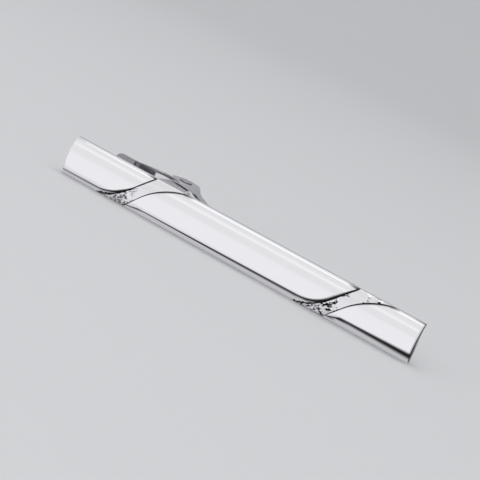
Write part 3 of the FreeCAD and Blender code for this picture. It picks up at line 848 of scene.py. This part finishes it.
def floor_material(floor_z):
    """Matte paint, which polished metal sees in soft tones of its own: a painted reflection, darker by the
    bar as painted shadow.
    """
    shader = Shader("studio_floor")
    haze = shader.cloud(shader.place(), scale=6.0, detail=2.0)
    base = finish_colours().floor
    matte = shader.node("ShaderNodeBsdfPrincipled", None, {
        "Base Color": shader.mix(haze, shade(base, share=0.985), base), "Roughness": FLOOR_ROUGHNESS})
    depth = shader.along("Y")
    low = shader.limits(shader.along("Z"), (floor_z, floor_z + LOW_RISE), (1.0, 0.0))
    glow = shader.mix(low, FRONT_GLOW, LOW_HIGHLIGHT_GLOW)
    # Painted contact shadow by the bar's foot and under the clip, seen only in the metal
    for span, tone in FLOOR_GLOWS:
        glow = shader.mix(shader.limits(depth, span), glow, tone)
    shine = shader.node("ShaderNodeEmission", None, {"Color": glow, "Strength": 1.0})
    return shader.close(shader.mirrored(matte, shine))


def set_floor():
    """A pale floor that sweeps up into a round backdrop."""
    object_mode()
    floor_z = CAD_BOX[0].z
    bpy.ops.mesh.primitive_circle_add(vertices=FLOOR_CORNERS, radius=FLOOR_RADIUS, fill_type="NGON",
                                      location=(0, 0, floor_z))
    floor = bpy.context.object
    floor.name = "studio_floor"
    bpy.ops.object.transform_apply(location=True)
    edit(floor)
    bpy.ops.mesh.region_to_loop()
    for step in range(WALL_STEPS):
        before, after = (math.pi / 2 * each / WALL_STEPS for each in (step, step + 1))
        rise = WALL_SWEEP * (math.cos(before) - math.cos(after))
        inner, outer = (FLOOR_RADIUS + WALL_SWEEP * math.sin(each) for each in (before, after))
        bpy.ops.mesh.extrude_edges_move(TRANSFORM_OT_translate={"value": (0, 0, rise)})
        bpy.ops.transform.resize(value=(outer / inner, outer / inner, 1.0), center_override=(0, 0, 0))
    object_mode()
    for face in floor.data.polygons:
        face.use_smooth = True
    floor.data.materials.append(floor_material(floor_z))


def set_sky():
    """An even sky, which metal sees bright in front of the bar and dim behind it."""
    shader = Shader("studio_sky", bpy.data.worlds)
    even = shader.node("ShaderNodeBackground", None, {"Color": SKY_COLOUR, "Strength": SKY_STRENGTH})
    behind = shader.limits(shader.along("Y", "Generated"), SKY_SPAN)
    # Painted reflection: metal sees the sky brighter in front of the bar than behind it
    glow = shader.node("ShaderNodeBackground", None, {
        "Color": shader.mix(behind, FRONT_GLOW, BACK_GLOW), "Strength": 1.0})
    bpy.context.scene.world = shader.close(shader.mirrored(even, glow), "ShaderNodeOutputWorld")


def set_lights():
    """Soft boxes above and in front for the floor, and a narrow one that draws a streak on the bar."""
    for name, (place, size, radiance, in_metal) in SOFT_BOXES.items():
        object_mode()
        bpy.ops.object.light_add(type="AREA", location=place)
        lamp = bpy.context.object
        lamp.name = name
        lamp.data.shape = "RECTANGLE"
        lamp.data.size, lamp.data.size_y = size
        lamp.data.energy = radiance * math.pi * size[0] * size[1]
        lamp.rotation_mode = "QUATERNION"
        lamp.rotation_quaternion = (SOFT_BOX_AIM - Vector(place)).to_track_quat("-Z", "Y")
        lamp.visible_camera = False
        lamp.visible_glossy = in_metal


def set_camera():
    """The photograph's view: a long lens, turned about its own axis."""
    object_mode()
    bpy.ops.object.camera_add()
    camera = bpy.context.object
    back = CAMERA_BACK.normalized()
    right = (CAMERA_RIGHT - back * CAMERA_RIGHT.dot(back)).normalized()
    up = back.cross(right)
    turn = Matrix((right, up, back)).transposed().to_4x4()
    camera.matrix_world = Matrix.Translation(CAMERA_PLACE) @ turn
    camera.data.lens = CAMERA_LENS
    camera.data.clip_start = CAMERA_NEAR
    bpy.context.scene.camera = camera


# Operators

class TIECLIP_OT_bar(bpy.types.Operator):
    """Model the backing strip"""
    bl_idname = "tieclip.bar"
    bl_label = "Backing strip"

    def execute(self, context):
        half = BAR_HIGH.z
        section = [Vector((BAR_LOW.x, BAR_HIGH.y, -half)), Vector((BAR_LOW.x, BAR_HIGH.y, half))]
        for step in range(CROWN_STEPS + 1):
            z = half * (1 - 2 * step / CROWN_STEPS)
            section.append(Vector((BAR_LOW.x, crown_y(z, 0.0), z)))
        piece = trace_face("bar_strip", section)
        extrude((BAR_HIGH.x - BAR_LOW.x, 0, 0))
        outward(piece)
        modify(piece, "BEVEL", width=STRIP_ROUND, segments=STRIP_SEGMENTS, limit_method="ANGLE",
               angle_limit=STRIP_EDGE)
        for height in (-PANEL_TOP - STRIP_LINE, -PANEL_TOP, PANEL_TOP, PANEL_TOP + STRIP_LINE):
            edit(piece)
            bpy.ops.mesh.bisect(plane_co=(0, 0, height), plane_no=ACROSS)

        # Painted dark reflection: a thin black line on the strip's front just above and below the panels
        def dark(place):
            return (place.y < STRIP_FRONT) * (1 - (abs(place.z) - PANEL_TOP) / STRIP_LINE)

        paint_shade(piece, dark)
        smooth(piece)
        plate = polished_plate("plated_strip", finish_colours().strip, satin=BACK_SATIN)
        dress(piece, plate, "bar", "base_bar")
        return {"FINISHED"}


class TIECLIP_OT_panels(bpy.types.Operator):
    """Model the three polished panels"""
    bl_idname = "tieclip.panels"
    bl_label = "Polished panels"

    def execute(self, context):
        half = BAR_HIGH.z
        low_left, high_left = Vector((BAR_LOW.x, -half)), Vector((BAR_LOW.x, half))
        low_right, high_right = Vector((BAR_HIGH.x, -half)), Vector((BAR_HIGH.x, half))
        foot_left = Vector((BAR_LOW.x, face_foot(BAR_LOW.x)))
        foot_right = Vector((BAR_HIGH.x, face_foot(BAR_HIGH.x)))
        step = sizes().face_step
        ends, starts, face_ends, face_arcs, corners = {}, {}, {}, {}, {}
        for side, middle in BAND_MIDDLES.items():
            ends[side] = panel_end(middle)[::-1]
            starts[side] = turned(panel_end(middle), middle)
            face_ends[side] = panel_end(middle, step, raised=True)[::-1]
            face_side = turned(panel_end(middle, step), middle)
            face_arcs[side] = face_side[:0:-1]
            corners[side] = face_start(face_side)
        skirts = {
            "left_panel": [low_left, *ends["left"], high_left],
            "middle_panel": [starts["left"][0], *ends["right"], *starts["left"][:0:-1]],
            "right_panel": [starts["right"][0], low_right, high_right, *starts["right"][:0:-1]],
        }
        faces = {
            "left_panel": [foot_left, *face_ends["left"], high_left],
            "middle_panel": [*corners["left"], *face_ends["right"], *face_arcs["left"]],
            "right_panel": [*corners["right"], foot_right, high_right, *face_arcs["right"]],
        }
        edges = {
            "left_panel": {
                "foot": [foot_left, face_ends["left"][0]],
                "right_arc": face_ends["left"][:-1],
                "right_slant": face_ends["left"][-2:],
            },
            "middle_panel": {
                "foot": [*corners["left"], face_ends["right"][0]],
                "right_arc": face_ends["right"][:-1],
                "right_slant": face_ends["right"][-2:],
                "left_arc": face_arcs["left"],
                "left_slant": [face_arcs["left"][-1], corners["left"][0]],
            },
            "right_panel": {
                "foot": [*corners["right"], foot_right],
                "bar_end": [foot_right, high_right],
                "left_arc": face_arcs["right"],
                "left_slant": [face_arcs["right"][-1], corners["right"][0]],
            },
        }
        plate = polished_plate("polished_plate", finish_colours().polish)
        for node in skirts:
            low, high = flat_box(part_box(node))
            lines = [tapered(edges[node][edge], widths) for edge, widths in LINE_WIDTHS[node].items()]
            piece = panel("polished_" + node, skirts[node], faces[node], low, high, lines)
            dress(piece, plate, "bar", node)
        return {"FINISHED"}


class TIECLIP_OT_bands(bpy.types.Operator):
    """Model the two rough bands"""
    bl_idname = "tieclip.bands"
    bl_label = "Rough bands"

    def execute(self, context):
        plate = crumpled_plate("crumpled_plate", finish_colours().rough)
        gap = sizes().band_gap
        for side, middle in BAND_MIDDLES.items():
            low, high = flat_box(BAND_BOXES[side])
            before = shifted(panel_end(middle), gap)
            after = shifted(turned(panel_end(middle), middle), -gap)
            # The band's painted dark line along its left edge
            line = tapered(before[1:], BAND_LINE_WIDTHS)
            piece = crumple_band("rough_%s_band" % side, [*before, *after], low, high,
                                 PATCHES[side], PIT_SHADES[side], line)
            dress(piece, plate, "bar", side + "_inlay")
        return {"FINISHED"}


class TIECLIP_OT_clip(bpy.types.Operator):
    """Model the bracket, the lever and the hinge pin"""
    bl_idname = "tieclip.clip"
    bl_label = "Stamped clip"

    def execute(self, context):
        sheet = stamped_plate("stamped_plate", finish_colours().stamping)
        bracket = softened_copy("hinge_bracket", "clip_bracket", STAMPED_ROUND)
        dress(bracket, sheet, "bar", "clip_bracket")
        lever = softened_copy("sprung_lever", "clip_lever", STAMPED_ROUND, LEVER_BEND)
        dress(lever, sheet, "lever", "clip_lever")
        pin = softened_copy("riveted_pin", "hinge_pin", PIN_ROUND)
        dress(pin, drawn_steel("turned_steel", finish_colours().steel), "bar", "hinge_pin")
        return {"FINISHED"}


class TIECLIP_OT_spring(bpy.types.Operator):
    """Model the torsion spring"""
    bl_idname = "tieclip.spring"
    bl_label = "Torsion spring"

    def execute(self, context):
        piece = merged_copy("wound_spring", "torsion_spring")
        smooth(piece, WIRE_EDGE)
        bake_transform(piece)
        wire = drawn_steel("drawn_steel", finish_colours().steel)
        dress(piece, wire, None, "torsion_spring")
        return {"FINISHED"}


class TIECLIP_OT_stage(bpy.types.Operator):
    """Set the floor, the sky, the lights and the camera"""
    bl_idname = "tieclip.stage"
    bl_label = "Studio"

    def execute(self, context):
        set_floor()
        set_sky()
        set_lights()
        set_camera()
        context.scene.view_settings.view_transform = "Standard"
        return {"FINISHED"}


OPERATORS = (TIECLIP_OT_bar, TIECLIP_OT_panels, TIECLIP_OT_bands, TIECLIP_OT_clip, TIECLIP_OT_spring,
             TIECLIP_OT_stage)


class TIECLIP_PT_pieces(bpy.types.Panel):
    """Lists the tie clip's sizes, colours and pieces"""
    bl_idname = "TIECLIP_PT_pieces"
    bl_label = "Tie clip"
    bl_space_type = "VIEW_3D"
    bl_region_type = "UI"
    bl_category = "Tie Clip"

    def draw(self, context):
        for group in (context.scene.tie_clip_sizes, context.scene.tie_clip_finish):
            for name in group.__annotations__:
                self.layout.prop(group, name)
        for operator in OPERATORS:
            self.layout.operator(operator.bl_idname)


CLASSES = (TieClipSizes, TieClipFinish, *OPERATORS, TIECLIP_PT_pieces)


def register():
    for each in CLASSES:
        bpy.utils.register_class(each)
    bpy.types.Scene.tie_clip_sizes = PointerProperty(type=TieClipSizes)
    bpy.types.Scene.tie_clip_finish = PointerProperty(type=TieClipFinish)


def unregister():
    del bpy.types.Scene.tie_clip_finish
    del bpy.types.Scene.tie_clip_sizes
    for each in reversed(CLASSES):
        bpy.utils.unregister_class(each)


def main():
    register()
    bpy.ops.tieclip.bar()
    bpy.ops.tieclip.panels()
    bpy.ops.tieclip.bands()
    bpy.ops.tieclip.clip()
    bpy.ops.tieclip.spring()
    bpy.ops.tieclip.stage()


if __name__ == "__main__":
    main()
